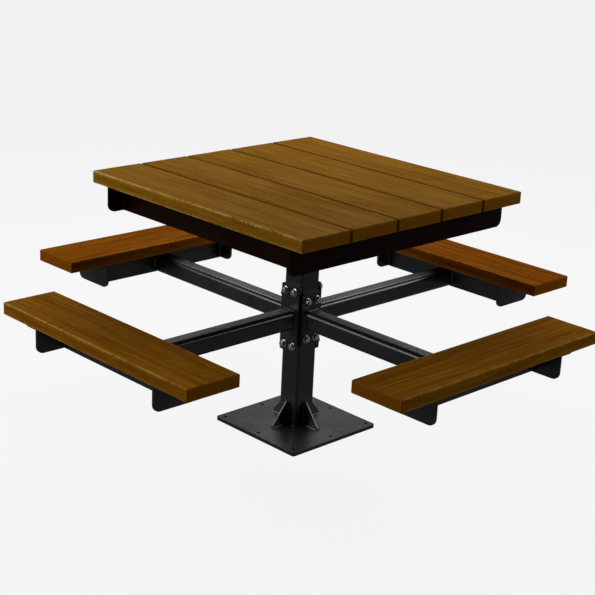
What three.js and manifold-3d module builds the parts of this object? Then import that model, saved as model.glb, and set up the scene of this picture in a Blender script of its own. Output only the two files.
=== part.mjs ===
// Square pedestal picnic table: a plank top and four single-plank seats on one steel post.
// Millimetres, +Z up. The origin is the centre of the base plate's underside, on the ground.
// The tabletop planks run along X. "Right" is +X, "back" is +Y, "left" is -X and "front" is -Y.
import * as THREE from "three";
import { mergeVertices } from "three/addons/utils/BufferGeometryUtils.js";
import Module from "manifold-3d";

const GAP = 0.3; // clearance kept between neighbouring pieces

// Planks
const PLANK_THICKNESS = 38;
const PLANK_WIDTH = 178;
const PLANK_EDGE_RADIUS = 4;
const PLANK_EDGE_STEPS = 3;
const PLANK_CORNER_RADIUS = 6;

// Tabletop
const TABLE_HEIGHT = 790;
const TABLE_PLANKS = 5;
const PLANK_SPACING = 5;
const TABLE_SIDE = TABLE_PLANKS * PLANK_WIDTH + (TABLE_PLANKS - 1) * PLANK_SPACING;

// Seats
const SEAT_HEIGHT = 452;
const SEAT_LENGTH = 838;
const SEAT_INNER_EDGE = 620; // from the middle of the post
const SEAT_MIDDLE = SEAT_INNER_EDGE + PLANK_WIDTH / 2;

// Steel angle that carries all the planks
const ANGLE_DEPTH = 80;
const ANGLE_LEG = 50;
const ANGLE_THICKNESS = 8;
const ANGLE_NOSE_RADIUS = 22;
const SCREW_HOLE_RADIUS = 4.5;
const SCREW_HOLE_INSET = 30; // from the angle's outer face
const SCREW_OFFSET = 50; // of a plank's two screws from its middle line

// Tabletop frame
const CROSS_MEMBER_INSET = 58; // from the plank ends
const CROSS_MEMBER_END_INSET = 13; // from the outer planks' long edges
const SIDE_RAIL_INSET = 68; // from the outer planks' long edges
const SIDE_RAIL_SCREWS = [-250, 0, 250];
const CHANNEL_WEB = 30; // from the post's middle to the web of each centre channel
const CHANNEL_FLANGE = 50;

// Seat brackets
const SEAT_RAIL_INNER_FACE = 685;
const SEAT_RAIL_SCREWS = [-210, -70, 70, 210];
const END_BRACKET_LENGTH = 154;
const END_BRACKET_PLACE = 263; // inner face, from the middle of the seat

// Pedestal
const BASE_SIDE = 356;
const BASE_THICKNESS = 12;
const BASE_CORNER_RADIUS = 8;
const BASE_HOLE_PLACE = 157;
const BASE_HOLE_RADIUS = 5.5;
const POST_SIDE = 76;
const POST_WALL = 5;
const POST_CORNER_RADIUS = 8;
const GUSSET_REACH = 62;
const GUSSET_HEIGHT = 76;
const GUSSET_NOSE = 6;
const GUSSET_THICKNESS = 6;
const TOP_PLATE_SIDE = 180;
const TOP_PLATE_THICKNESS = 8;

// Seat arms and their bolted flanges
const ARM_SIDE = 60;
const ARM_WALL = 6;
const ARM_CORNER_RADIUS = 15;
const ARM_HEIGHT = SEAT_HEIGHT - PLANK_THICKNESS - ANGLE_DEPTH + ARM_SIDE / 2;
const FLANGE_THICKNESS = 10;
const FLANGE_CORNER_RADIUS = 7;
const BOLT_SPREAD = 20; // of the bolts from the arm's middle line
const TALL_FLANGE = { height: 216, boltRise: 87.5 };
const SHORT_FLANGE = { height: 172, boltRise: 60.5 };

// M12 hexagon flange bolts and nuts
const BOLT_RADIUS = 6;
const BOLT_HOLE_RADIUS = 6.75;
const NUT_BORE_RADIUS = 6.5;
const HEX_RADIUS = 10.4; // to the corners
const HEX_CHAMFER = 1.2;
const HEAD_HEIGHT = 8;
const NUT_HEIGHT = 10;
const COLLAR_RADIUS = 12.5;
const COLLAR_HEIGHT = 2.5;
const THREAD_END = 6;

const ROUND_SIDES = 12;
const SCREW_HOLE_SIDES = 8;
const ARC_STEP = Math.PI / 12;

const SIDES = [
  { name: "right", turn: 0, flange: SHORT_FLANGE },
  { name: "back", turn: Math.PI / 2, flange: TALL_FLANGE },
  { name: "left", turn: Math.PI, flange: SHORT_FLANGE },
  { name: "front", turn: -Math.PI / 2, flange: TALL_FLANGE },
];

const FINISHES = {
  timber: { color: 0x8a6224, roughness: 0.5, metalness: 0.0 },
  powderCoat: { color: 0x2c2c2d, roughness: 0.42, metalness: 0.25 },
  zinc: { color: 0xb4b6b8, roughness: 0.32, metalness: 0.9 },
};

const wasm = await Module();
wasm.setup();

const X_AXIS = new THREE.Vector3(1, 0, 0);
const Y_AXIS = new THREE.Vector3(0, 1, 0);
const Z_AXIS = new THREE.Vector3(0, 0, 1);

// ---------------------------------------------------------------- outlines

// Closed outline through corners [x, y, radius], with each corner rounded to its radius.
function outline(corners) {
  const points = [];
  corners.forEach(([x, y, radius], i) => {
    const corner = new THREE.Vector2(x, y);
    const before = corners[(i + corners.length - 1) % corners.length];
    const after = corners[(i + 1) % corners.length];
    points.push(...roundedCorner(corner, before, after, radius));
  });
  return points;
}

function roundedCorner(corner, before, after, radius) {
  if (!radius) return [corner];
  const back = new THREE.Vector2(before[0], before[1]).sub(corner).normalize();
  const ahead = new THREE.Vector2(after[0], after[1]).sub(corner).normalize();
  const half = Math.acos(THREE.MathUtils.clamp(back.dot(ahead), -1, 1)) / 2;
  const middle = back.clone().add(ahead).normalize();
  const centre = corner.clone().addScaledVector(middle, radius / Math.sin(half));
  const start = corner.clone().addScaledVector(back, radius / Math.tan(half)).sub(centre);
  const turn = Math.PI - 2 * half;
  const sign = Math.sign(back.cross(ahead)) * -1;
  const steps = Math.ceil(turn / ARC_STEP - 1e-6);
  const arc = [];
  for (let k = 0; k <= steps; k += 1) {
    const angle = (sign * turn * k) / steps;
    arc.push(start.clone().rotateAround(new THREE.Vector2(), angle).add(centre));
  }
  return arc;
}

function rectangle(width, height, radius) {
  const [w, h] = [width / 2, height / 2];
  return outline([[-w, -h, radius], [w, -h, radius], [w, h, radius], [-w, h, radius]]);
}

function circle(x, y, radius, sides = ROUND_SIDES) {
  const points = [];
  for (let k = 0; k < sides; k += 1) {
    const angle = (2 * Math.PI * (k + 0.5)) / sides;
    points.push(new THREE.Vector2(x + radius * Math.cos(angle), y + radius * Math.sin(angle)));
  }
  return points;
}

// ---------------------------------------------------------------- solids

// Straight extrusion of an outline, centred on the origin along its own direction Z.
function extrude(points, length, holes = []) {
  const shape = new THREE.Shape(points);
  shape.holes = holes.map((hole) => new THREE.Path(hole));
  const geometry = new THREE.ExtrudeGeometry(shape, { depth: length, bevelEnabled: false });
  return geometry.translate(0, 0, -length / 2);
}

// The outline's own x and y become Y and Z, and the extrusion runs along X.
function extrudeAlongX(points, length, holes) {
  const turn = new THREE.Matrix4().makeBasis(Y_AXIS, Z_AXIS, X_AXIS);
  return extrude(points, length, holes).applyMatrix4(turn);
}

// The outline's own x and y become X and Z, and the extrusion runs along Y.
function extrudeAlongY(points, length, holes) {
  const turn = new THREE.Matrix4().makeBasis(X_AXIS, Z_AXIS, Y_AXIS.clone().negate());
  return extrude(points, length, holes).applyMatrix4(turn);
}

function box(xRange, yRange, zRange) {
  const spans = [xRange, yRange, zRange];
  const size = spans.map(([low, high]) => high - low);
  const middle = spans.map(([low, high]) => (low + high) / 2);
  return new THREE.BoxGeometry(...size).translate(...middle);
}

// Solid of revolution about Z from [radius, height] pairs that start and end on the axis.
function revolve(profile, sides) {
  const points = profile.map(([radius, height]) => new THREE.Vector2(radius, height));
  return new THREE.LatheGeometry(points, sides).rotateX(Math.PI / 2);
}

function toSolid(geometry) {
  const plain = geometry.index ? geometry.toNonIndexed() : geometry.clone();
  plain.deleteAttribute("normal");
  plain.deleteAttribute("uv");
  const merged = mergeVertices(plain, 1e-4);
  const corners = merged.index.array;
  const kept = [];
  for (let i = 0; i < corners.length; i += 3) {
    const [a, b, c] = [corners[i], corners[i + 1], corners[i + 2]];
    if (a !== b && b !== c && c !== a) kept.push(a, b, c);
  }
  const vertProperties = new Float32Array(merged.attributes.position.array);
  const triVerts = new Uint32Array(kept);
  return new wasm.Manifold(new wasm.Mesh({ numProp: 3, vertProperties, triVerts }));
}

function toGeometry(solid) {
  const mesh = solid.getMesh();
  const geometry = new THREE.BufferGeometry();
  geometry.setAttribute("position", new THREE.BufferAttribute(mesh.vertProperties, 3));
  geometry.setIndex(new THREE.BufferAttribute(mesh.triVerts, 1));
  geometry.computeVertexNormals();
  return geometry;
}

function join(...geometries) {
  return toGeometry(geometries.map(toSolid).reduce((whole, next) => whole.add(next)));
}

function cut(geometry, cutters) {
  return toGeometry(cutters.map(toSolid).reduce((left, cutter) => left.subtract(cutter), toSolid(geometry)));
}

// ---------------------------------------------------------------- planks

// Plank lying flat, lengthways along X, with every edge eased.
function plankGeometry(length) {
  const shape = new THREE.Shape(rectangle(length, PLANK_WIDTH, PLANK_CORNER_RADIUS));
  const geometry = new THREE.ExtrudeGeometry(shape, {
    depth: PLANK_THICKNESS - 2 * PLANK_EDGE_RADIUS,
    bevelThickness: PLANK_EDGE_RADIUS,
    bevelSize: PLANK_EDGE_RADIUS,
    bevelOffset: -PLANK_EDGE_RADIUS,
    bevelSegments: PLANK_EDGE_STEPS,
  });
  return geometry.translate(0, 0, PLANK_EDGE_RADIUS - PLANK_THICKNESS);
}

// ---------------------------------------------------------------- steel sections

// Angle running along Y, top outer edge on the Y axis, leg pointing to -X. noseRadius rounds
// the deep leg's two lower corners; screws are the places of the leg's screw holes along it.
function angleGeometry(length, noseRadius, screws) {
  const half = length / 2;
  const deepLeg = outline([
    [-half, -ANGLE_DEPTH, noseRadius],
    [half, -ANGLE_DEPTH, noseRadius],
    [half, 0, 0],
    [-half, 0, 0],
  ]);
  const upright = extrudeAlongX(deepLeg, ANGLE_THICKNESS).translate(-ANGLE_THICKNESS / 2, 0, 0);
  const leg = box([-ANGLE_LEG, 0], [-half, half], [-ANGLE_THICKNESS, 0]);
  const drills = screws.map((place) => screwDrill(-SCREW_HOLE_INSET, place));
  return cut(join(upright, leg), drills);
}

function screwDrill(x, y) {
  const length = 4 * ANGLE_THICKNESS;
  return extrude(circle(x, y, SCREW_HOLE_RADIUS, SCREW_HOLE_SIDES), length);
}

// Channel running along Y, top on z = 0, web on x = 0 and flanges pointing to +X.
function channelGeometry(length, screws) {
  const [depth, reach, wall] = [ANGLE_DEPTH, CHANNEL_FLANGE, ANGLE_THICKNESS];
  const profile = outline([
    [0, -depth, 0],
    [reach, -depth, 0],
    [reach, wall - depth, 0],
    [wall, wall - depth, 0],
    [wall, -wall, 0],
    [reach, -wall, 0],
    [reach, 0, 0],
    [0, 0, 0],
  ]);
  const drills = screws.map((place) => screwDrill(SCREW_HOLE_INSET, place));
  return cut(extrudeAlongY(profile, length), drills);
}

function squareTubeAlongX(side, wall, radius, length) {
  const bore = rectangle(side - 2 * wall, side - 2 * wall, radius - wall);
  return extrudeAlongX(rectangle(side, side, radius), length, [bore]);
}

// Boxes that notch both ends of a member along Y, over the horizontal legs it passes under.
function endNotches(halfLength, reach) {
  const start = halfLength - ANGLE_LEG + ANGLE_THICKNESS;
  const depth = [-ANGLE_THICKNESS - GAP, GAP];
  const past = halfLength + ANGLE_THICKNESS;
  return [box([-reach, reach], [start, past], depth), box([-reach, reach], [-past, -start], depth)];
}

// ---------------------------------------------------------------- bolts

// Bolt along X through the post: head on the +X side, thread end on the -X side.
function boltGeometry() {
  const seat = seatOfBoltHead();
  const tip = -(seat + COLLAR_HEIGHT + NUT_HEIGHT + THREAD_END);
  const shank = revolve([
    [0, tip],
    [BOLT_RADIUS - 1, tip],
    [BOLT_RADIUS, tip + 1],
    [BOLT_RADIUS, seat],
    [COLLAR_RADIUS, seat],
    [COLLAR_RADIUS, seat + COLLAR_HEIGHT / 2],
    [HEX_RADIUS, seat + COLLAR_HEIGHT],
    [0, seat + COLLAR_HEIGHT],
  ], ROUND_SIDES);
  return join(shank, hexagon(seat + COLLAR_HEIGHT / 2, seat + COLLAR_HEIGHT + HEAD_HEIGHT)).rotateY(Math.PI / 2);
}

// Nut of the same bolt, on the -X side.
function nutGeometry() {
  const seat = seatOfBoltHead();
  const collar = revolve([
    [0, seat],
    [COLLAR_RADIUS, seat],
    [COLLAR_RADIUS, seat + COLLAR_HEIGHT / 2],
    [HEX_RADIUS, seat + COLLAR_HEIGHT],
    [0, seat + COLLAR_HEIGHT],
  ], ROUND_SIDES);
  const body = join(collar, hexagon(seat + COLLAR_HEIGHT / 2, seat + COLLAR_HEIGHT + NUT_HEIGHT));
  const bore = extrude(circle(0, 0, NUT_BORE_RADIUS), 4 * NUT_HEIGHT).translate(0, 0, seat);
  return cut(body, [bore]).rotateY(-Math.PI / 2);
}

function hexagon(bottom, top) {
  return revolve([
    [0, bottom],
    [HEX_RADIUS, bottom],
    [HEX_RADIUS, top - HEX_CHAMFER],
    [HEX_RADIUS - HEX_CHAMFER, top],
    [0, top],
  ], 6);
}

function seatOfBoltHead() {
  return POST_SIDE / 2 + FLANGE_THICKNESS + 2 * GAP;
}

function boltPlaces(flange) {
  const rises = [flange.boltRise, -flange.boltRise];
  return rises.flatMap((rise) => [-BOLT_SPREAD, BOLT_SPREAD].map((across) => [across, rise]));
}

// ---------------------------------------------------------------- scene graph

const table = new THREE.Group();

function addPiece(parent, name, geometry, finish) {
  const mesh = new THREE.Mesh(geometry, new THREE.MeshStandardMaterial(FINISHES[finish]));
  mesh.name = name;
  parent.add(mesh);
  return mesh;
}

function sideGroup(turn) {
  const group = new THREE.Group();
  group.rotation.z = turn;
  table.add(group);
  return group;
}

function addPedestal() {
  const grid = [-BASE_HOLE_PLACE, 0, BASE_HOLE_PLACE];
  const places = grid.flatMap((x) => grid.map((y) => [x, y])).filter(([x, y]) => x || y);
  const holes = places.map(([x, y]) => circle(x, y, BASE_HOLE_RADIUS));
  const plate = extrude(rectangle(BASE_SIDE, BASE_SIDE, BASE_CORNER_RADIUS), BASE_THICKNESS, holes);
  addPiece(table, "base_plate", plate, "powderCoat").position.z = BASE_THICKNESS / 2;

  const bottom = BASE_THICKNESS + GAP;
  const top = TABLE_HEIGHT - PLANK_THICKNESS - ANGLE_DEPTH - TOP_PLATE_THICKNESS - 3 * GAP;
  const post = postGeometry(bottom, top);
  addPiece(table, "pedestal_post", post, "powderCoat");

  const cap = extrude(rectangle(TOP_PLATE_SIDE, TOP_PLATE_SIDE, BASE_CORNER_RADIUS), TOP_PLATE_THICKNESS);
  const capPiece = addPiece(table, "post_top_plate", cap, "powderCoat");
  capPiece.position.z = top + GAP + TOP_PLATE_THICKNESS / 2;
}

function postGeometry(bottom, top) {
  const bore = POST_SIDE - 2 * POST_WALL;
  const walls = extrude(rectangle(POST_SIDE, POST_SIDE, POST_CORNER_RADIUS), top - bottom, [
    rectangle(bore, bore, POST_CORNER_RADIUS - POST_WALL),
  ]).translate(0, 0, (top + bottom) / 2);
  const along = boltPlaces(SHORT_FLANGE).map(([y, rise]) =>
    extrudeAlongX(circle(y, ARM_HEIGHT + rise, BOLT_HOLE_RADIUS), 2 * POST_SIDE));
  const across = boltPlaces(TALL_FLANGE).map(([x, rise]) =>
    extrudeAlongY(circle(x, ARM_HEIGHT + rise, BOLT_HOLE_RADIUS), 2 * POST_SIDE));
  return cut(walls, [...along, ...across]);
}

function addGusset(side) {
  const [face, foot] = [POST_SIDE / 2 + GAP, BASE_THICKNESS + GAP];
  const [tip, top] = [face + GUSSET_REACH, foot + GUSSET_HEIGHT];
  const profile = outline([
    [face, foot, 0],
    [tip, foot, 0],
    [tip, foot + GUSSET_NOSE, 0],
    [face + GUSSET_NOSE, top, 0],
    [face, top, 0],
  ]);
  const geometry = extrudeAlongY(profile, GUSSET_THICKNESS);
  addPiece(sideGroup(side.turn), `base_gusset_${side.name}`, geometry, "powderCoat");
}

function addArm(side) {
  const group = sideGroup(side.turn);
  const holes = boltPlaces(side.flange).map(([y, rise]) => circle(y, rise, BOLT_HOLE_RADIUS));
  const flangeOutline = rectangle(POST_SIDE, side.flange.height, FLANGE_CORNER_RADIUS);
  const flange = addPiece(group, `arm_flange_${side.name}`,
    extrudeAlongX(flangeOutline, FLANGE_THICKNESS, holes), "powderCoat");
  const flangeFace = POST_SIDE / 2 + GAP + FLANGE_THICKNESS;
  flange.position.set(flangeFace - FLANGE_THICKNESS / 2, 0, ARM_HEIGHT);

  const [start, end] = [flangeFace + GAP, SEAT_RAIL_INNER_FACE - GAP];
  const tube = squareTubeAlongX(ARM_SIDE, ARM_WALL, ARM_CORNER_RADIUS, end - start);
  const arm = addPiece(group, `seat_arm_${side.name}`, tube, "powderCoat");
  arm.position.set((start + end) / 2, 0, ARM_HEIGHT);
}

// Four bolts through the post clamp each pair of facing arm flanges.
function addBolts(side, facingSide) {
  const group = sideGroup(side.turn);
  boltPlaces(side.flange).forEach(([y, rise], i) => {
    const bolt = addPiece(group, `arm_bolt_${side.name}_${i + 1}`, boltGeometry(), "zinc");
    const nut = addPiece(group, `arm_nut_${facingSide.name}_${i + 1}`, nutGeometry(), "zinc");
    bolt.position.set(0, y, ARM_HEIGHT + rise);
    nut.position.copy(bolt.position);
  });
}

function addSeat(side) {
  const group = sideGroup(side.turn);
  const underside = SEAT_HEIGHT - PLANK_THICKNESS - GAP;
  const railLength = 2 * (END_BRACKET_PLACE - GAP);
  const rail = addPiece(group, `seat_rail_${side.name}`,
    angleGeometry(railLength, 0, SEAT_RAIL_SCREWS), "powderCoat");
  rail.rotation.z = Math.PI;
  rail.position.set(SEAT_RAIL_INNER_FACE, 0, underside);

  [-1, 1].forEach((end) => {
    const screws = [-SCREW_OFFSET, SCREW_OFFSET];
    const bracket = addPiece(group, `seat_end_bracket_${side.name}_${end < 0 ? 1 : 2}`,
      angleGeometry(END_BRACKET_LENGTH, ANGLE_NOSE_RADIUS, screws), "powderCoat");
    bracket.rotation.z = (-end * Math.PI) / 2;
    bracket.position.set(SEAT_MIDDLE, end * END_BRACKET_PLACE, underside);
  });

  const plank = addPiece(group, `seat_board_${side.name}`, plankGeometry(SEAT_LENGTH), "timber");
  plank.rotation.z = Math.PI / 2;
  plank.position.set(SEAT_MIDDLE, 0, SEAT_HEIGHT);
}

function tablePlankPlaces() {
  const pitch = PLANK_WIDTH + PLANK_SPACING;
  return Array.from({ length: TABLE_PLANKS }, (_, i) => (i - (TABLE_PLANKS - 1) / 2) * pitch);
}

function addTableTop() {
  tablePlankPlaces().forEach((y, i) => {
    const plank = addPiece(table, `table_board_${i + 1}`, plankGeometry(TABLE_SIDE), "timber");
    plank.position.set(0, y, TABLE_HEIGHT);
  });
}

function addTableFrame() {
  const underside = TABLE_HEIGHT - PLANK_THICKNESS - GAP;
  const crossFace = TABLE_SIDE / 2 - CROSS_MEMBER_INSET;
  const railFace = TABLE_SIDE / 2 - SIDE_RAIL_INSET;
  const crossLength = TABLE_SIDE - 2 * CROSS_MEMBER_END_INSET;
  const crossScrews = tablePlankPlaces().flatMap((y) => [y - SCREW_OFFSET, y + SCREW_OFFSET]);
  const railHalf = crossFace - ANGLE_THICKNESS - GAP;
  const channelHalf = railFace - ANGLE_THICKNESS - GAP;

  [SIDES[0], SIDES[2]].forEach((side) => {
    const group = sideGroup(side.turn);
    const member = addPiece(group, `table_cross_member_${side.name}`,
      angleGeometry(crossLength, ANGLE_NOSE_RADIUS, crossScrews), "powderCoat");
    member.position.set(crossFace, 0, underside);
    const channel = addPiece(group, `table_center_channel_${side.name}`,
      cut(channelGeometry(2 * channelHalf, tablePlankPlaces()), endNotches(channelHalf, TABLE_SIDE)),
      "powderCoat");
    channel.position.set(CHANNEL_WEB, 0, underside);
  });

  [SIDES[1], SIDES[3]].forEach((side) => {
    const rail = addPiece(sideGroup(side.turn), `table_side_rail_${side.name}`,
      cut(angleGeometry(2 * railHalf, 0, SIDE_RAIL_SCREWS), endNotches(railHalf, TABLE_SIDE)),
      "powderCoat");
    rail.position.set(railFace, 0, underside);
  });
}

addPedestal();
SIDES.forEach(addGusset);
SIDES.forEach(addArm);
addBolts(SIDES[0], SIDES[2]);
addBolts(SIDES[3], SIDES[1]);
SIDES.forEach(addSeat);
addTableTop();
addTableFrame();

export default table;
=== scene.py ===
import math

import bmesh
import bpy
from mathutils import Matrix, Vector, noise


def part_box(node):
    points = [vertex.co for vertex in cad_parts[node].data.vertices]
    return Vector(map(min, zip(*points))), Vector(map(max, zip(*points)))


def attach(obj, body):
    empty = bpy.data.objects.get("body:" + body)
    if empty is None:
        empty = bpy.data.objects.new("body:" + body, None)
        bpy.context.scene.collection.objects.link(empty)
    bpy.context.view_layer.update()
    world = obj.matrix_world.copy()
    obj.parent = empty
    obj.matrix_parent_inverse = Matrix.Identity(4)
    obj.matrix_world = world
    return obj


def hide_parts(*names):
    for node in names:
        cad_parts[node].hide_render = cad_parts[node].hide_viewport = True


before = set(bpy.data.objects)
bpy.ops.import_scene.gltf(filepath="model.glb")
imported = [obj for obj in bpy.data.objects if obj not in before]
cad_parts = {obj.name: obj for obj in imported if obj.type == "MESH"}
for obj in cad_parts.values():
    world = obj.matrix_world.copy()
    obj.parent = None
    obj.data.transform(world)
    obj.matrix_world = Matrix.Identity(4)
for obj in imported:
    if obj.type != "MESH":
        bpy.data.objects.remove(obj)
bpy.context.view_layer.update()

MM = 0.001
BODY = "root"
TURNS = {"right": 0.0, "back": 90.0, "left": 180.0, "front": -90.0}


# ---------------------------------------------------------------- node helpers

def add(tree, kind, inputs=None, **settings):
    """Adds one shader node; an input is a value or another node's output socket."""
    node = tree.nodes.new("ShaderNode" + kind)
    for key, value in settings.items():
        setattr(node, key, value)
    for key, value in (inputs or {}).items():
        if isinstance(value, bpy.types.NodeSocket):
            tree.links.new(value, node.inputs[key])
        else:
            node.inputs[key].default_value = value
    return node


def new_finish(name, **constants):
    """A material with one Principled shader, whose constant sockets are set directly."""
    material = bpy.data.materials.new(name)
    material.use_nodes = True
    shader = material.node_tree.nodes["Principled BSDF"]
    for key, value in constants.items():
        shader.inputs[key.replace("_", " ")].default_value = value
    return material, material.node_tree, shader


def stretched(tree, coords, stretch, shift=(0.0, 0.0, 0.0), turn=0.0):
    """Coordinates scaled, then turned about Z, then moved."""
    inputs = {"Vector": coords, "Location": shift, "Rotation": (0.0, 0.0, turn), "Scale": stretch}
    return add(tree, "Mapping", inputs).outputs["Vector"]


def cloud(tree, coords, scale, detail=3.0, roughness=0.55):
    inputs = {"Vector": coords, "Scale": scale, "Detail": detail, "Roughness": roughness}
    return add(tree, "TexNoise", inputs).outputs["Fac"]


def grain(tree, coords, draw, scale, detail, roughness=0.55):
    """Noise drawn out along X: the smaller the draw, the longer its streaks."""
    return cloud(tree, stretched(tree, coords, (draw, 1.0, 1.0)), scale, detail, roughness)


def level(tree, value, low, high, to_low=0.0, to_high=1.0):
    """Eases a value between two limits from one output level to another."""
    inputs = {"Value": value, "From Min": low, "From Max": high, "To Min": to_low, "To Max": to_high}
    return add(tree, "MapRange", inputs, interpolation_type="SMOOTHSTEP").outputs["Result"]


def math_node(tree, operation, first, second=0.0):
    return add(tree, "Math", {0: first, 1: second}, operation=operation).outputs[0]


def product(tree, first, second):
    return math_node(tree, "MULTIPLY", first, second)


def total(tree, first, second):
    return math_node(tree, "ADD", first, second)


def mix(tree, factor, first, second):
    inputs = {0: factor, 6: first, 7: second}
    return add(tree, "Mix", inputs, data_type="RGBA").outputs[2]


def rgba(red, green, blue):
    return (red, green, blue, 1.0)


def bumped(tree, shader, height, strength, distance):
    inputs = {"Height": height, "Strength": strength, "Distance": distance}
    tree.links.new(add(tree, "Bump", inputs).outputs["Normal"], shader.inputs["Normal"])


def edge_mask(tree):
    return add(tree, "Attribute", attribute_name="edge_marks").outputs["Fac"]


# ---------------------------------------------------------------- finishes

GRAIN_SWAY = 0.035  # metres by which the grain wanders from straight
TIMBER_SHEEN = 0.004
TIMBER_BUMP = 0.6 * MM
# Stain colours of the planks: pale streak, body, dark figure, end grain, pale edge and seam. The pale
# edge is rubbed wear with a painted highlight, the seam colour painted shade with grime.
GOLDEN = {"pale": rgba(0.47, 0.235, 0.015), "body": rgba(0.290, 0.128, 0.0062),
          "dark": rgba(0.178, 0.071, 0.0025), "end": rgba(0.225, 0.080, 0.0028),
          "pale_edge": rgba(0.88, 0.60, 0.16), "seam": rgba(0.060, 0.022, 0.001)}
# Painted shade: the seats' two stains are copies of the table's, shifted towards orange as shade tints
# the wood.
AMBER_SHADE_TINT = {"pale": rgba(0.49, 0.215, 0.013), "body": rgba(0.305, 0.117, 0.0055),
         "dark": rgba(0.180, 0.061, 0.0022), "end": rgba(0.245, 0.082, 0.0026),
         "pale_edge": rgba(0.72, 0.41, 0.070), "seam": rgba(0.045, 0.014, 0.001)}
ORANGE_SHADE_TINT = {"pale": rgba(0.45, 0.158, 0.005), "body": rgba(0.275, 0.081, 0.0012),
          "dark": rgba(0.155, 0.038, 0.0006), "end": rgba(0.235, 0.062, 0.0010),
          "pale_edge": rgba(0.55, 0.225, 0.012), "seam": rgba(0.040, 0.010, 0.001)}


def timber_patterns(tree, board):
    """The noise fields of one plank, in coordinates whose X runs along the grain."""
    sway = product(tree, grain(tree, board, draw=0.5, scale=5.0, detail=2.0), GRAIN_SWAY)
    offset = add(tree, "CombineXYZ", {"Y": sway}).outputs[0]
    swayed = add(tree, "VectorMath", {0: board, 1: offset}, operation="ADD").outputs[0]
    rings = add(tree, "TexWave", {
        "Vector": stretched(tree, swayed, (0.05, 1.0, 1.0)), "Scale": 30.0, "Distortion": 3.5,
        "Detail": 3.0, "Detail Scale": 1.6,
    }, wave_type="RINGS", rings_direction="X").outputs["Fac"]
    return {
        "rings": rings,
        "figure": grain(tree, swayed, draw=0.035, scale=58.0, detail=6.0, roughness=0.62),
        "streaks": grain(tree, swayed, draw=0.022, scale=240.0, detail=5.0, roughness=0.66),
        "pores": grain(tree, swayed, draw=0.035, scale=900.0, detail=3.0, roughness=0.6),
        "patches": grain(tree, board, draw=0.45, scale=7.0, detail=3.0),
        "hatch": cloud(tree, stretched(tree, board, (1.0, 0.12, 0.25)), 260.0, 3.0),
        "edge_noise": grain(tree, board, draw=0.3, scale=60.0, detail=4.0),
    }


def timber_colour(tree, stain, field, end_facing):
    """Body stain with dark figure and pores, pale streaks, seams darkened by painted shade with grime,
    and free edges paled by rubbed wear with a painted highlight.
    """
    colour = mix(tree, level(tree, field["figure"], 0.35, 0.65), stain["dark"], stain["body"])
    colour = mix(tree, level(tree, field["rings"], 0.15, 0.95, 0.0, 0.22), colour, stain["dark"])
    colour = mix(tree, level(tree, field["patches"], 0.34, 0.70, 0.0, 0.45), colour, stain["body"])
    colour = mix(tree, level(tree, field["streaks"], 0.50, 0.68, 0.0, 0.55), colour, stain["pale"])
    colour = mix(tree, level(tree, field["hatch"], 0.55, 0.75, 0.0, 0.22), colour, stain["pale"])
    colour = mix(tree, level(tree, field["pores"], 0.60, 0.74, 0.0, 0.55), colour, stain["dark"])
    colour = mix(tree, level(tree, end_facing, 0.70, 0.96, 0.0, 0.80), colour, stain["end"])
    edge_marks = edge_mask(tree)
    # Painted shade with grime: faces darken beside the gaps between planks.
    seam_shade_and_grime = level(tree, product(tree, edge_marks, -1.0), 0.15, 0.60, 0.0, 0.45)
    colour = mix(tree, seam_shade_and_grime, colour, stain["seam"])
    # Painted highlight with rubbed wear: free edges turn pale, in a fuzzy band.
    fuzz = total(tree, product(tree, field["hatch"], 0.6), product(tree, field["edge_noise"], 0.4))
    worn_and_highlit = product(tree, level(tree, edge_marks, 0.0, 1.0), level(tree, fuzz, 0.40, 0.56, 0.15, 1.0))
    return mix(tree, worn_and_highlit, colour, stain["pale_edge"])


def timber(name, stain, grain_turn, seed):
    """Stained plank with grain along X, or along Y when it is turned a quarter."""
    finish, tree, shader = new_finish(name, Specular_IOR_Level=TIMBER_SHEEN)
    place = add(tree, "TexCoord").outputs["Object"]
    shift = (1.7 * seed, 0.37 * seed, 0.11 * seed)
    board = stretched(tree, place, (1.0, 1.0, 1.0), shift, grain_turn)
    field = timber_patterns(tree, board)

    normal = add(tree, "SeparateXYZ", {0: add(tree, "NewGeometry").outputs["Normal"]})
    facing = math_node(tree, "ABSOLUTE", normal.outputs["Y" if grain_turn else "X"])
    tree.links.new(timber_colour(tree, stain, field, facing), shader.inputs["Base Color"])

    gloss = total(tree, field["streaks"], field["patches"])
    tree.links.new(level(tree, gloss, 0.75, 1.30, 0.64, 0.46), shader.inputs["Roughness"])
    relief = total(tree, product(tree, field["streaks"], 1.0),
                   total(tree, product(tree, field["figure"], 0.7), product(tree, field["pores"], -0.5)))
    bumped(tree, shader, relief, 0.35, TIMBER_BUMP)
    return finish


SCUFFED = rgba(0.06, 0.06, 0.06)
GRITTY = rgba(0.035, 0.035, 0.036)
RUBBED_COAT = rgba(0.050, 0.050, 0.052)
COAT_BUMP = 0.35 * MM
SATIN_BLACK = {"black": rgba(0.0120, 0.0120, 0.0123), "grey": rgba(0.0215, 0.0213, 0.0215)}
# Painted shade: the table frame's coat is a darker, warmer copy of the satin black, for the same coat
# lying in shade under the tabletop.
SHADED_BROWN_BLACK = {"black": rgba(0.0095, 0.0026, 0.0007), "grey": rgba(0.0140, 0.0042, 0.0014)}


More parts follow.
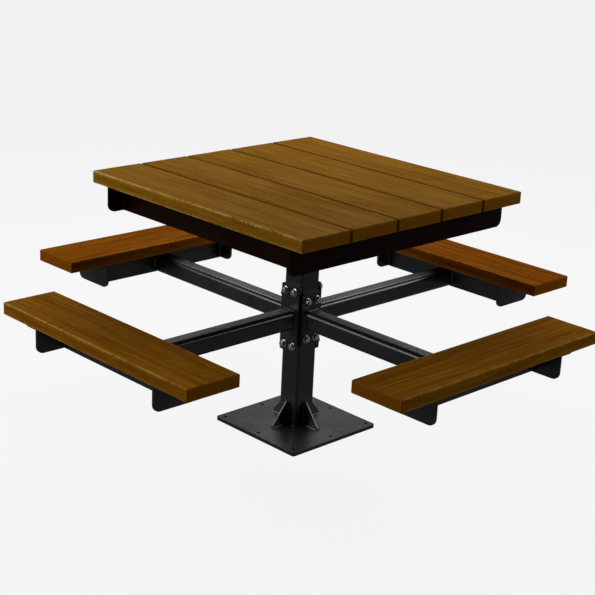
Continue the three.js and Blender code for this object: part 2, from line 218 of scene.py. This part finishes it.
def powder_coat(name, black, grey, sheen):
    """Powder coat: orange peel, dull handled patches, rubbed edges and fine scuffs."""
    finish, tree, shader = new_finish(name, Specular_IOR_Level=sheen)
    place = add(tree, "TexCoord").outputs["Object"]
    peel = cloud(tree, place, 620.0, 2.0)
    grit = cloud(tree, place, 2600.0, 2.0)
    patches = cloud(tree, place, 6.5, 4.0)
    streaky = stretched(tree, place, (1.0, 1.0, 7.0), (0.3, 0.1, 0.0), 0.5)
    scuffs = cloud(tree, streaky, 55.0, 6.0, 0.7)
    chips = cloud(tree, place, 140.0, 4.0, 0.65)

    colour = mix(tree, level(tree, patches, 0.35, 0.70), black, grey)
    colour = mix(tree, level(tree, scuffs, 0.66, 0.80, 0.0, 0.35), colour, SCUFFED)
    colour = mix(tree, level(tree, grit, 0.62, 0.78, 0.0, 0.25), colour, GRITTY)
    pale_edge = product(tree, level(tree, edge_mask(tree), 0.45, 1.0),
                     level(tree, chips, 0.48, 0.68, 0.05, 0.75))
    colour = mix(tree, pale_edge, colour, RUBBED_COAT)
    tree.links.new(colour, shader.inputs["Base Color"])

    dull = level(tree, patches, 0.30, 0.75, 0.24, 0.35)
    dull = total(tree, dull, level(tree, scuffs, 0.62, 0.80, 0.0, 0.18))
    tree.links.new(dull, shader.inputs["Roughness"])
    bumped(tree, shader, total(tree, peel, product(tree, grit, 0.25)), 0.06, COAT_BUMP)
    return finish


YELLOWED = rgba(0.50, 0.47, 0.40)


def zinc(name, tint, rough_low, rough_high):
    """Plated steel: faint crystal pattern, clouded passivation and uneven gloss."""
    finish, tree, shader = new_finish(name, Metallic=1.0)
    place = add(tree, "TexCoord").outputs["Object"]
    crystals = add(tree, "TexVoronoi", {"Vector": place, "Scale": 900.0}).outputs["Distance"]
    haze = cloud(tree, place, 240.0, 4.0)
    bright = rgba(*tint)
    dim = rgba(*[0.55 * part for part in tint])
    colour = mix(tree, level(tree, haze, 0.35, 0.68), bright, dim)
    colour = mix(tree, level(tree, crystals, 0.1, 0.7, 0.0, 0.30), colour, YELLOWED)
    tree.links.new(colour, shader.inputs["Base Color"])
    tree.links.new(level(tree, haze, 0.30, 0.70, rough_low, rough_high), shader.inputs["Roughness"])
    bumped(tree, shader, crystals, 0.12, 0.2 * MM)
    return finish


# ---------------------------------------------------------------- mesh helpers

SHARP_ANGLE = math.radians(50)


def edge_exposure(normal):
    """0 on a face square to the axes, 1 where the surface turns through 45 degrees."""
    flat = max(abs(part) for part in normal)
    return min(1.0, max(0.0, (1.0 - flat) / (1.0 - math.sqrt(0.5))))


def coat_wear(vert):
    return edge_exposure(vert.normal)


def piece(name, bm, finish, slot, *nodes, edge_marks_at=coat_wear):
    """Makes an object that rides on the body and stands for the given CAD nodes."""
    bmesh.ops.recalc_face_normals(bm, faces=bm.faces[:])
    bm.normal_update()
    edge_marks = bm.verts.layers.float.new("edge_marks")
    for vert in bm.verts:
        vert[edge_marks] = edge_marks_at(vert)
    for face in bm.faces:
        face.smooth = True
    for edge in bm.edges:
        edge.smooth = edge.calc_face_angle(0.0) < SHARP_ANGLE
    mesh = bpy.data.meshes.new(name)
    bm.to_mesh(mesh)
    bm.free()
    mesh.materials.append(finish)
    made = bpy.data.objects.new(name, mesh)
    bpy.context.scene.collection.objects.link(made)
    made.modifiers.new("face_weighted_normals", "WEIGHTED_NORMAL").keep_sharp = True
    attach(made, BODY)
    if nodes:
        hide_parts(*nodes)
    return made


def lathe(bm, profile, sides, place, phase=0.0):
    """Solid of revolution about local Z from (radius, height) pairs that start and end on the axis."""
    rings = []
    for radius, height in profile:
        if radius == 0.0:
            rings.append([bm.verts.new(place @ Vector((0.0, 0.0, height)))] * sides)
            continue
        angles = [phase + 2 * math.pi * k / sides for k in range(sides)]
        rings.append([bm.verts.new(place @ Vector((radius * math.cos(a), radius * math.sin(a), height)))
                      for a in angles])
    for lower, upper in zip(rings, rings[1:]):
        for k in range(sides):
            corners = [lower[k], lower[(k + 1) % sides], upper[(k + 1) % sides], upper[k]]
            bm.faces.new(list(dict.fromkeys(corners)))


def hexagon(bm, radius, bottom, top, place):
    """Hexagon head with a chamfered crown and eased corners."""
    part = bmesh.new()
    chamfer = 0.13 * radius
    lathe(part, [(0.0, bottom), (radius, bottom), (radius, top - chamfer), (radius - 1.3 * chamfer, top),
                 (0.0, top)], 6, Matrix.Identity(4))
    uprights = [e for e in part.edges if abs(e.verts[0].co.z - e.verts[1].co.z) > chamfer * 1.5]
    bmesh.ops.bevel(part, geom=uprights, offset=0.09 * radius, segments=2, profile=0.5, affect="EDGES")
    part.transform(place)
    carrier = bpy.data.meshes.new("hexagon")
    part.to_mesh(carrier)
    part.free()
    bm.from_mesh(carrier)
    bpy.data.meshes.remove(carrier)


def side_frame(side):
    return Matrix.Rotation(math.radians(TURNS[side]), 4, "Z")


# ---------------------------------------------------------------- planks

PLANK_EDGE = 4 * MM
PLANK_STATION = 26 * MM  # between the cross cuts that let a plank's faces undulate
PLANK_RELIEF = 0.7 * MM
EDGE_MARK_REACH = 13 * MM  # of the band in from an edge: painted highlight with rubbed wear by a free edge, painted shade with grime by a gap
END_EDGE_MARK = 0.35  # of the painted highlight and rubbed wear on the edges at a plank's ends, against 1 for its long edges


def plank_edge_marks(vert, low, high, along, free):
    """1 on a plank's free edges, fading over the band beside them, and -1 along a gap: the masks of the
    painted edge highlight with rubbed wear and of the painted seam shade with grime.
    """
    gaps = []
    for axis in range(3):
        for side, end in ((0, low), (1, high)):
            reach = abs(vert.co[axis] - end[axis])
            gaps.append((max(0.0, 1.0 - reach / EDGE_MARK_REACH), axis, free[axis][side]))
    gaps.sort(reverse=True)
    (first, first_axis, first_free), (second, second_axis, second_free) = gaps[:2]
    fade = (first * second) ** 2.4
    if not (first_free and second_free):
        return -fade
    return fade * (END_EDGE_MARK if along in (first_axis, second_axis) else 1.0)


def plank(node, finish, free=((True, True), (True, True), (True, True))):
    """Milled plank with rounded edges and faces that undulate a little, as sawn timber does."""
    low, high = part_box(node)
    size, middle = high - low, (high + low) / 2
    along = 0 if size.x > size.y else 1
    bm = bmesh.new()
    block = Matrix.Translation(middle) @ Matrix.Diagonal((*size, 1.0))
    bmesh.ops.create_cube(bm, size=1.0, matrix=block)
    bmesh.ops.bevel(bm, geom=bm.edges[:], offset=PLANK_EDGE, segments=5, profile=0.5, affect="EDGES")
    for axis in (along, 1 - along, 2):
        direction = Vector([1.0 if k == axis else 0.0 for k in range(3)])
        inner = size[axis] - 2.2 * PLANK_EDGE
        cuts = max(2, round(inner / PLANK_STATION))
        stations = [inner * (k / cuts - 0.5) for k in range(cuts + 1)]
        band = size[axis] / 2 - EDGE_MARK_REACH / 2
        for shift in sorted(stations + [-band, band]):
            bmesh.ops.bisect_plane(bm, geom=bm.verts[:] + bm.edges[:] + bm.faces[:],
                                   plane_co=middle + direction * shift, plane_no=direction, dist=1e-7)
    bm.normal_update()
    for vert in bm.verts:
        stretch = Vector([4.0 if k == along else 22.0 for k in range(3)])
        field = noise.noise(Vector([a * b for a, b in zip(vert.co, stretch)]) + middle * 9.0)
        vert.co -= vert.normal * PLANK_RELIEF * (0.5 + 0.5 * max(-1.0, min(1.0, 1.6 * field)))
    return piece(f"{node}_timber", bm, finish, "planks", node,
                 edge_marks_at=lambda vert: plank_edge_marks(vert, low, high, along, free))


# ---------------------------------------------------------------- steel members

STEEL_EASE = 1.0 * MM  # radius of the steel's square edges


def refined(node, finish, slot):
    """The CAD solid with its square edges eased, ready for smooth shading."""
    bm = bmesh.new()
    bm.from_mesh(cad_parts[node].data)
    bmesh.ops.remove_doubles(bm, verts=bm.verts[:], dist=1e-6)
    bmesh.ops.dissolve_limit(bm, angle_limit=math.radians(0.5), verts=bm.verts[:], edges=bm.edges[:])
    square = [e for e in bm.edges if len(e.link_faces) == 2 and e.calc_face_angle(0.0) > SHARP_ANGLE]
    bmesh.ops.bevel(bm, geom=square, offset=STEEL_EASE, segments=2, profile=0.5, affect="EDGES",
                    clamp_overlap=True)
    bmesh.ops.triangulate(bm, faces=[f for f in bm.faces if len(f.verts) > 4])
    return piece(f"{node}_coated", bm, finish, slot, node)


# ---------------------------------------------------------------- weld beads

BEAD_STEP = 1.1 * MM
BEAD_PITCH = 3.6 * MM  # between the ripples
BEAD_ARC = 5
BEAD_SINK = 0.25 * MM  # of the bead's toes into the steel
FOOT_LEG = 6 * MM
HEAD_LEG = 5 * MM
FLANGE_LEG = 5.5 * MM
RAIL_LEG = 5 * MM
GUSSET_LEG = 4.5 * MM
SEAM_LEG = 4 * MM  # of the short upright beads at the ends of angles and channels


def bead(bm, frames, leg, closed, place):
    """Rippled fillet weld along (corner, first surface direction, second surface direction)."""
    rings, walked = [], 0.0
    for k, (corner, first, second) in enumerate(frames):
        if k:
            walked += (corner - frames[k - 1][0]).length
        ripple = abs(math.sin(math.pi * walked / BEAD_PITCH))
        waver = noise.noise(Vector((walked * 90.0, leg * 700.0, 0.0)))
        reach = leg * (0.90 + 0.13 * ripple + 0.07 * waver)
        sink = (first + second) * BEAD_SINK
        points = [corner - 2.0 * sink]
        for j in range(BEAD_ARC + 1):
            angle = math.pi / 2 * j / BEAD_ARC
            crown = 1.0 - 0.20 * math.sin(2.0 * angle)
            direction = first * math.cos(angle) + second * math.sin(angle)
            points.append(corner - sink + direction * reach * crown)
        rings.append([bm.verts.new(place @ point) for point in points])
    pairs = list(zip(rings, rings[1:]))
    if closed:
        pairs.append((rings[-1], rings[0]))
    count = BEAD_ARC + 2
    for one, two in pairs:
        for j in range(count):
            bm.faces.new([one[j], one[(j + 1) % count], two[(j + 1) % count], two[j]])
    if not closed:
        bm.faces.new(rings[0])
        bm.faces.new(list(reversed(rings[-1])))


def straight(start, end, first, second):
    """Frames of a straight bead."""
    steps = max(2, round((end - start).length / BEAD_STEP))
    return [(start.lerp(end, k / steps), first, second) for k in range(steps + 1)]


def round_corner_square(half, radius):
    """Points and outward directions round a square tube's outline, from its lower right corner."""
    spots = []
    flat = half - radius
    per_side = max(2, round(2 * flat / BEAD_STEP))
    per_corner = max(4, round(math.pi / 2 * radius / BEAD_STEP))
    for quarter in range(4):
        turn = Matrix.Rotation(quarter * math.pi / 2, 2)
        for k in range(per_side):
            spot = Vector((half, flat * (2 * k / per_side - 1)))
            spots.append((turn @ spot, turn @ Vector((1.0, 0.0))))
        for k in range(per_corner):
            angle = math.pi / 2 * k / per_corner
            out = Vector((math.cos(angle), math.sin(angle)))
            spots.append((turn @ (Vector((flat, flat)) + out * radius), turn @ out))
    return spots


def upright_loop(half, radius, height, second):
    """Frames of a closed bead round the post at one height."""
    return [(Vector((spot.x, spot.y, height)), Vector((out.x, out.y, 0.0)), second)
            for spot, out in round_corner_square(half, radius)]


def arm_loop(half, radius, reach, height, second):
    """Frames of a closed bead round an arm, on a plate square to it."""
    return [(Vector((reach, spot.x, height + spot.y)), Vector((0.0, out.x, out.y)), second)
            for spot, out in round_corner_square(half, radius)]


# ---------------------------------------------------------------- sizes read from the frame

ARM_LOW, ARM_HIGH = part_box("seat_arm_right")
ARM_HALF = (ARM_HIGH.z - ARM_LOW.z) / 2
ARM_AXIS = (ARM_HIGH.z + ARM_LOW.z) / 2
ARM_RADIUS = 15 * MM
POST_LOW, POST_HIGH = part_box("pedestal_post")
POST_HALF = POST_HIGH.x
POST_RADIUS = 8 * MM
RAIL_LOW, RAIL_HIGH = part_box("seat_rail_right")
BRACKET_LOW, BRACKET_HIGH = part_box("seat_end_bracket_right_2")
GUSSET_LOW, GUSSET_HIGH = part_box("base_gusset_right")
CROSS_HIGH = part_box("table_cross_member_right")[1]
SIDE_LOW, SIDE_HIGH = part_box("table_side_rail_back")
CHANNEL_LOW, CHANNEL_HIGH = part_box("table_center_channel_right")
PLATE_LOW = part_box("post_top_plate")[0]
STEEL = 8 * MM  # thickness of the angles, the channels and the top plate
UP, DOWN = Vector((0.0, 0.0, 1.0)), Vector((0.0, 0.0, -1.0))
OUT, IN = Vector((1.0, 0.0, 0.0)), Vector((-1.0, 0.0, 0.0))
ACROSS = Vector((0.0, 1.0, 0.0))


def weld_piece(name, finish, runs):
    """One piece of weld beads from (frames, leg, closed, placing matrix) runs."""
    bm = bmesh.new()
    for frames, leg, closed, place in runs:
        bead(bm, frames, leg, closed, place)
    return piece(name, bm, finish, "steel_frame")


def weld_post(finish):
    still = Matrix.Identity(4)
    foot = upright_loop(POST_HALF, POST_RADIUS, POST_LOW.z, UP)
    head = upright_loop(POST_HALF, POST_RADIUS, POST_HIGH.z, DOWN)
    weld_piece("post_foot_weld", finish, [(foot, FOOT_LEG, True, still)])
    weld_piece("post_head_weld", finish, [(head, HEAD_LEG, True, still)])


def weld_gusset(side, finish):
    """Beads down both faces of a gusset: up the post, then out along the base plate."""
    place = side_frame(side)
    runs = []
    for hand in (-1, 1):
        face = hand * GUSSET_HIGH.y
        inner = Vector((GUSSET_LOW.x, face, GUSSET_LOW.z))
        top = Vector((GUSSET_LOW.x, face, GUSSET_HIGH.z))
        tip = Vector((GUSSET_HIGH.x, face, GUSSET_LOW.z))
        runs.append((straight(inner, top, ACROSS * hand, OUT), GUSSET_LEG, False, place))
        runs.append((straight(inner, tip, ACROSS * hand, UP), GUSSET_LEG, False, place))
    weld_piece(f"base_gusset_{side}_welds", finish, runs)


def weld_arm(side, finish):
    """A closed bead round the arm on its flange, and one over the arm's end on the seat rail."""
    place = side_frame(side)
    at_flange = arm_loop(ARM_HALF, ARM_RADIUS, ARM_LOW.x, ARM_AXIS, OUT)
    weld_piece(f"arm_flange_{side}_weld", finish, [(at_flange, FLANGE_LEG, True, place)])
    loop = arm_loop(ARM_HALF, ARM_RADIUS, ARM_HIGH.x, ARM_AXIS, IN)
    bottom = ARM_LOW.z + ARM_RADIUS
    start = next(k for k in range(len(loop)) if loop[k - 1][0].z < bottom <= loop[k][0].z)
    turned = loop[start:] + loop[:start]
    over = turned[:next(k for k, spot in enumerate(turned) if k and spot[0].z < bottom)]
    weld_piece(f"seat_rail_{side}_arm_weld", finish, [(over, RAIL_LEG, False, place)])


def weld_seat(side, finish):
    """Upright beads where the seat rail's two ends meet the end brackets."""
    place = side_frame(side)
    low, high = RAIL_LOW.z + 3 * MM, RAIL_HIGH.z - STEEL - 3 * MM
    runs = []
    for hand in (-1, 1):
        face = hand * BRACKET_LOW.y
        for reach, away in ((RAIL_LOW.x, IN), (RAIL_LOW.x + STEEL, OUT)):
            start, end = Vector((reach, face, low)), Vector((reach, face, high))
            runs.append((straight(start, end, away, ACROSS * -hand), SEAM_LEG, False, place))
    weld_piece(f"seat_rail_{side}_bracket_welds", finish, runs)


def weld_table_frame(finish):
    """Upright beads at the side rails' ends and at the ends of the two centre channels."""
    low, high = SIDE_LOW.z + 3 * MM, SIDE_HIGH.z - STEEL - 3 * MM
    for side, turn in (("back", 0.0), ("front", math.pi)):
        place = Matrix.Rotation(turn, 4, "Z")
        runs = []
        for hand in (-1, 1):
            end = hand * SIDE_HIGH.x
            for reach, away in ((SIDE_HIGH.y, ACROSS), (SIDE_HIGH.y - STEEL, -ACROSS)):
                bottom, top = Vector((end, reach, low)), Vector((end, reach, high))
                runs.append((straight(bottom, top, away, OUT * -hand), SEAM_LEG, False, place))
            web = hand * CHANNEL_LOW.x
            bottom, top = Vector((web, CHANNEL_HIGH.y, low)), Vector((web, CHANNEL_HIGH.y, high))
            runs.append((straight(bottom, top, OUT * -hand, -ACROSS), SEAM_LEG, False, place))
        weld_piece(f"table_side_rail_{side}_welds", finish, runs)


# ---------------------------------------------------------------- bolts and screws

BOLT_RADIUS = 6 * MM
THREAD_PITCH = 1.75 * MM
THREAD_DEPTH = 0.9 * MM
HEX_RADIUS = 10.4 * MM
COLLAR_RADIUS = 12.5 * MM
COLLAR_HEIGHT = 2.5 * MM
HEAD_RISE = 10.5 * MM  # from a bolt's seat to its crown
NUT_RISE = 12.5 * MM
ROUND_SIDES = 28


def collar(bm, seat, place):
    """Flared washer face under a hexagon."""
    lathe(bm, [(0.0, seat), (COLLAR_RADIUS - 0.4 * MM, seat), (COLLAR_RADIUS, seat + 0.4 * MM),
               (COLLAR_RADIUS, seat + 1.0 * MM), (HEX_RADIUS * 0.92, seat + COLLAR_HEIGHT),
               (0.0, seat + COLLAR_HEIGHT)], ROUND_SIDES, place)


def thread_profile(start, end):
    """(radius, height) pairs of a threaded end, from its chamfered tip back to plain shank."""
    pairs = [(0.0, start), (BOLT_RADIUS - 1.4 * MM, start),
             (BOLT_RADIUS - THREAD_DEPTH, start + 0.6 * MM)]
    height = start + 1.0 * MM
    while height + THREAD_PITCH < end:
        pairs.append((BOLT_RADIUS - THREAD_DEPTH, height))
        pairs.append((BOLT_RADIUS, height + THREAD_PITCH / 2))
        height += THREAD_PITCH
    return pairs + [(BOLT_RADIUS, height)]


def bolt_place(node, side):
    """Matrix that puts local Z on the bolt's axis, pointing to its head."""
    low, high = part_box(node)
    middle = (low + high) / 2
    turned = side_frame(side).to_3x3()
    axis = turned @ OUT
    centre = middle - axis * middle.dot(axis)
    return Matrix.Translation(centre) @ turned.to_4x4() @ Matrix.Rotation(math.pi / 2, 4, "Y")


def through_bolt(node, side, finish, twist):
    low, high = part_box(node)
    axis = side_frame(side).to_3x3() @ OUT
    tip, crown = sorted((low.dot(axis), high.dot(axis)))
    seat = crown - HEAD_RISE
    place = bolt_place(node, side) @ Matrix.Rotation(twist, 4, "Z")
    bm = bmesh.new()
    shank = thread_profile(tip, tip + 22 * MM) + [(BOLT_RADIUS, seat), (0.0, seat)]
    lathe(bm, shank, ROUND_SIDES, place)
    collar(bm, seat, place)
    hexagon(bm, HEX_RADIUS, seat + COLLAR_HEIGHT - 0.5 * MM, crown, place)
    lathe(bm, [(0.0, crown - 0.2 * MM), (6.2 * MM, crown - 0.2 * MM), (5.6 * MM, crown - 0.02 * MM),
               (0.0, crown - 0.01 * MM)], ROUND_SIDES, place)
    return piece(f"{node}_plated", bm, finish, "fasteners", node)


def flange_nut(node, side, finish, twist):
    low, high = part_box(node)
    axis = side_frame(side).to_3x3() @ OUT
    seat, crown = sorted((low.dot(axis), high.dot(axis)))
    place = bolt_place(node, side) @ Matrix.Rotation(twist, 4, "Z")
    bm = bmesh.new()
    collar(bm, seat, place)
    hexagon(bm, HEX_RADIUS, seat + COLLAR_HEIGHT - 0.5 * MM, crown, place)
    return piece(f"{node}_plated", bm, finish, "fasteners", node)


SCREW_SHANK = 3.2 * MM
SCREW_BITE = 24 * MM  # into the plank above the steel
WASHER_RADIUS = 8.5 * MM
WASHER_HEIGHT = 1.5 * MM
SCREW_HEAD_RADIUS = 6.2 * MM
SCREW_HEAD_HEIGHT = 4.6 * MM


def lag_screw(bm, x, y, underside, twist):
    """Hexagon wood screw with a washer, driven up through a steel leg into a plank."""
    place = (Matrix.Translation((x, y, underside)) @ Matrix.Rotation(math.pi, 4, "X")
             @ Matrix.Rotation(twist, 4, "Z"))
    shank_end = -(STEEL + SCREW_BITE)
    lathe(bm, [(0.0, shank_end), (0.5 * MM, shank_end), (SCREW_SHANK, shank_end + 5 * MM),
               (SCREW_SHANK, 0.2 * MM), (0.0, 0.2 * MM)], 12, place)
    lathe(bm, [(0.0, 0.0), (WASHER_RADIUS - 0.3 * MM, 0.0), (WASHER_RADIUS, 0.3 * MM),
               (WASHER_RADIUS, WASHER_HEIGHT - 0.4 * MM), (WASHER_RADIUS - 0.5 * MM, WASHER_HEIGHT),
               (0.0, WASHER_HEIGHT)], ROUND_SIDES, place)
    hexagon(bm, SCREW_HEAD_RADIUS, WASHER_HEIGHT - 0.2 * MM, WASHER_HEIGHT + SCREW_HEAD_HEIGHT, place)


def screw_group(name, spots, underside, finish):
    bm = bmesh.new()
    for k, (x, y) in enumerate(spots):
        lag_screw(bm, x, y, underside, 0.7 * k)
    return piece(name, bm, finish, "fasteners")


SCREW_INSET = 30 * MM  # from an angle's outer face
SCREW_SPREAD = 50 * MM  # from a plank's middle line
RAIL_SCREWS = [-210 * MM, -70 * MM, 70 * MM, 210 * MM]
SIDE_SCREWS = [-250 * MM, 0.0, 250 * MM]
BOARD_BOXES = [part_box(f"table_board_{k}") for k in range(1, 6)]
PLANK_LINES = [(low.y + high.y) / 2 for low, high in BOARD_BOXES]


def seat_screws(side, finish):
    """Four screws through the rail's leg and two through each end bracket's leg."""
    turned = side_frame(side)
    spots = [(RAIL_LOW.x + SCREW_INSET, across) for across in RAIL_SCREWS]
    middle = (BRACKET_LOW.x + BRACKET_HIGH.x) / 2
    for hand in (-1, 1):
        across = hand * (BRACKET_LOW.y + SCREW_INSET)
        spots += [(middle - SCREW_SPREAD, across), (middle + SCREW_SPREAD, across)]
    world = [(turned @ Vector((x, y, 0.0))).xy for x, y in spots]
    screw_group(f"seat_board_{side}_screws", world, RAIL_HIGH.z - STEEL, finish)


def table_screws(finish):
    underside = CROSS_HIGH.z - STEEL
    for side, hand in (("right", 1), ("left", -1)):
        line = hand * (CROSS_HIGH.x - SCREW_INSET)
        spots = [(line, y + shift) for y in PLANK_LINES for shift in (-SCREW_SPREAD, SCREW_SPREAD)]
        screw_group(f"table_cross_member_{side}_screws", spots, underside, finish)
        channel = hand * (CHANNEL_LOW.x + SCREW_INSET)
        screw_group(f"table_center_channel_{side}_screws", [(channel, y) for y in PLANK_LINES],
                    underside, finish)
    for side, hand in (("back", 1), ("front", -1)):
        line = hand * (SIDE_HIGH.y - SCREW_INSET)
        spots = [(x, line) for x in SIDE_SCREWS]
        screw_group(f"table_side_rail_{side}_screws", spots, underside, finish)


TOP_BOLT_X, TOP_BOLT_Y = 60 * MM, 62 * MM
TOP_BOLT_TIP = 18 * MM  # above the channel's lower flange


def top_plate_bolts(finish):
    """Four bolts that clamp the centre channels' lower flanges to the post's top plate."""
    bm = bmesh.new()
    for x in (-TOP_BOLT_X, TOP_BOLT_X):
        for y in (-TOP_BOLT_Y, TOP_BOLT_Y):
            below = Matrix.Translation((x, y, PLATE_LOW.z)) @ Matrix.Rotation(math.pi, 4, "X")
            collar(bm, 0.0, below)
            hexagon(bm, HEX_RADIUS, COLLAR_HEIGHT - 0.5 * MM, HEAD_RISE, below)
            above = Matrix.Translation((x, y, CHANNEL_LOW.z + STEEL)) @ Matrix.Rotation(0.4, 4, "Z")
            collar(bm, 0.0, above)
            hexagon(bm, HEX_RADIUS, COLLAR_HEIGHT - 0.5 * MM, NUT_RISE, above)
            tip = Matrix.Translation((0.0, 0.0, TOP_BOLT_TIP))
            upturned = above @ tip @ Matrix.Rotation(math.pi, 4, "X")
            lathe(bm, thread_profile(0.0, 14 * MM) + [(BOLT_RADIUS, 36 * MM), (0.0, 36 * MM)],
                  ROUND_SIDES, upturned)
    piece("post_top_plate_bolts", bm, finish, "fasteners")


# ---------------------------------------------------------------- stage, lights, camera

# Where the viewer stands: bearing from the front (-Y) towards +X, height angle and head tilt in
# degrees, the point looked at, the distance to it, and the focal length over the sensor's width.
BEARING, ELEVATION, TILT = 45.49, 18.50, 2.71
AIM_HEIGHT, AIM_RIGHT, AIM_UP = 400 * MM, -11.84 * MM, 19.79 * MM
DISTANCE = 4323.94 * MM
SENSOR = 36.0
FOCAL_RATIO = 2.35889
CLIP_END = 200.0


def add_camera():
    bearing, elevation, tilt = (math.radians(a) for a in (BEARING, ELEVATION, TILT))
    back = Vector((math.sin(bearing) * math.cos(elevation), -math.cos(bearing) * math.cos(elevation),
                   math.sin(elevation)))
    right = Vector((math.cos(bearing), math.sin(bearing), 0.0))
    up = back.cross(right)
    tilted_right = right * math.cos(tilt) + up * math.sin(tilt)
    tilted_up = up * math.cos(tilt) - right * math.sin(tilt)
    aim = Vector((0.0, 0.0, AIM_HEIGHT)) + right * AIM_RIGHT + up * AIM_UP
    data = bpy.data.cameras.new("photo_camera")
    data.sensor_width = SENSOR
    data.lens = SENSOR * FOCAL_RATIO
    data.clip_end = CLIP_END
    camera = bpy.data.objects.new("photo_camera", data)
    bpy.context.scene.collection.objects.link(camera)
    turned = Matrix((tilted_right, tilted_up, back)).transposed().to_4x4()
    camera.matrix_world = Matrix.Translation(aim + back * DISTANCE) @ turned
    bpy.context.scene.camera = camera


FLOOR_HALF = 45.0
FLOOR_DROP = 1.0 * MM
FLOOR_GREY = rgba(0.06, 0.06, 0.06)
FLOOR_GLOW = 0.88


def add_floor():
    """Plain pale studio floor. It glows a little so that it stays even far from the lamps."""
    bm = bmesh.new()
    bmesh.ops.create_grid(bm, x_segments=8, y_segments=8, size=FLOOR_HALF)
    mesh = bpy.data.meshes.new("studio_floor")
    bm.to_mesh(mesh)
    bm.free()
    floor = bpy.data.objects.new("studio_floor", mesh)
    floor.location.z = -FLOOR_DROP
    bpy.context.scene.collection.objects.link(floor)
    floor.visible_diffuse = False
    floor.visible_glossy = False
    finish, tree, shader = new_finish("studio_floor", Base_Color=FLOOR_GREY, Roughness=0.9,
                                      Specular_IOR_Level=0.0, Emission_Color=rgba(1.0, 1.0, 1.0),
                                      Emission_Strength=FLOOR_GLOW)
    clear = add(tree, "BsdfTransparent").outputs[0]
    behind = add(tree, "NewGeometry").outputs["Backfacing"]
    seen = add(tree, "MixShader", {0: behind, 1: shader.outputs[0], 2: clear}).outputs[0]
    tree.links.new(seen, tree.nodes["Material Output"].inputs["Surface"])
    mesh.materials.append(finish)


SURROUND_BELOW, SURROUND_ABOVE = rgba(0.14, 0.14, 0.14), rgba(0.03, 0.03, 0.03)
BACKDROP = rgba(0.90, 0.90, 0.90)


def add_world():
    """Studio surround: faint bounce light from below, dark above, and a pale backdrop to the camera."""
    world = bpy.data.worlds.new("studio")
    bpy.context.scene.world = world
    world.use_nodes = True
    tree = world.node_tree
    background = tree.nodes["Background"]
    height = add(tree, "SeparateXYZ", {0: add(tree, "TexCoord").outputs["Generated"]}).outputs["Z"]
    colour = mix(tree, level(tree, height, -0.05, 0.10), SURROUND_BELOW, SURROUND_ABOVE)
    seen = add(tree, "LightPath").outputs["Is Camera Ray"]
    tree.links.new(mix(tree, seen, colour, BACKDROP), background.inputs["Color"])


# Softboxes: (name, position, size, power in watts)
LAMPS = [
    ("key_left", (-2.0, -2.4, 1.9), (1.6, 1.4), 44.0),
    ("high_back", (-1.3, 1.3, 2.5), (2.0, 2.0), 46.0),
    ("rim_right", (1.9, 2.6, 1.9), (1.6, 1.4), 33.0),
    ("back_panel", (-2.9, 2.9, 1.5), (3.4, 1.6), 5.5),
    ("low_left", (-1.6, -3.0, 0.9), (1.6, 1.0), 7.0),
]


LAMP_AIM = Vector((0.0, 0.0, 0.45))


def add_lamps():
    for name, position, (wide, tall), watts in LAMPS:
        data = bpy.data.lights.new(name, "AREA")
        data.shape = "RECTANGLE"
        data.size, data.size_y = wide, tall
        data.energy = watts
        lamp = bpy.data.objects.new(name, data)
        bpy.context.scene.collection.objects.link(lamp)
        spot = Vector(position)
        turned = (LAMP_AIM - spot).to_track_quat("-Z", "Y").to_matrix().to_4x4()
        lamp.matrix_world = Matrix.Translation(spot) @ turned
        lamp.visible_camera = False


# ---------------------------------------------------------------- building

def build_planks():
    for k in range(1, 6):
        free = ((True, True), (k == 1, k == 5), (True, True))
        plank(f"table_board_{k}", timber(f"golden_stain_table_{k}", GOLDEN, 0.0, 3.1 * k), free)
    # Painted shade: the seats take the orange-shifted copies of the table's stain.
    shade_tinted_stains = {"front": AMBER_SHADE_TINT, "right": AMBER_SHADE_TINT, "back": ORANGE_SHADE_TINT, "left": ORANGE_SHADE_TINT}
    for k, (side, stain) in enumerate(shade_tinted_stains.items()):
        turn = math.pi / 2 if side in ("right", "left") else 0.0
        plank(f"seat_board_{side}", timber(f"shade_tinted_stain_seat_{side}", stain, turn, 21.0 + 2.3 * k))


def build_steel():
    coat = powder_coat("satin_black_coat", **SATIN_BLACK, sheen=0.5)
    # Painted shade: the table frame and its welds take the darker brown-black copy of the coat.
    shaded_coat = powder_coat("shaded_brown_black_coat", **SHADED_BROWN_BLACK, sheen=0.05)
    for node in sorted(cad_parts):
        if not any(word in node for word in ("board", "bolt", "nut")):
            refined(node, shaded_coat if node.startswith("table_") else coat, "steel_frame")
    weld_post(coat)
    weld_table_frame(shaded_coat)
    for side in TURNS:
        weld_gusset(side, coat)
        weld_arm(side, coat)
        weld_seat(side, coat)


def build_fasteners():
    bright = zinc("bright_zinc", (0.64, 0.64, 0.65), 0.18, 0.36)
    dull = zinc("dull_zinc", (0.50, 0.49, 0.47), 0.34, 0.52)
    for head, nut in (("right", "left"), ("front", "back")):
        for k in range(1, 5):
            through_bolt(f"arm_bolt_{head}_{k}", head, bright, 0.5 * k)
            flange_nut(f"arm_nut_{nut}_{k}", nut, bright, 0.3 * k)
    for side in TURNS:
        seat_screws(side, dull)
    table_screws(dull)
    top_plate_bolts(bright)


bpy.context.scene.view_settings.view_transform = "Standard"
add_camera()
add_floor()
add_world()
add_lamps()
build_planks()
build_steel()
build_fasteners()
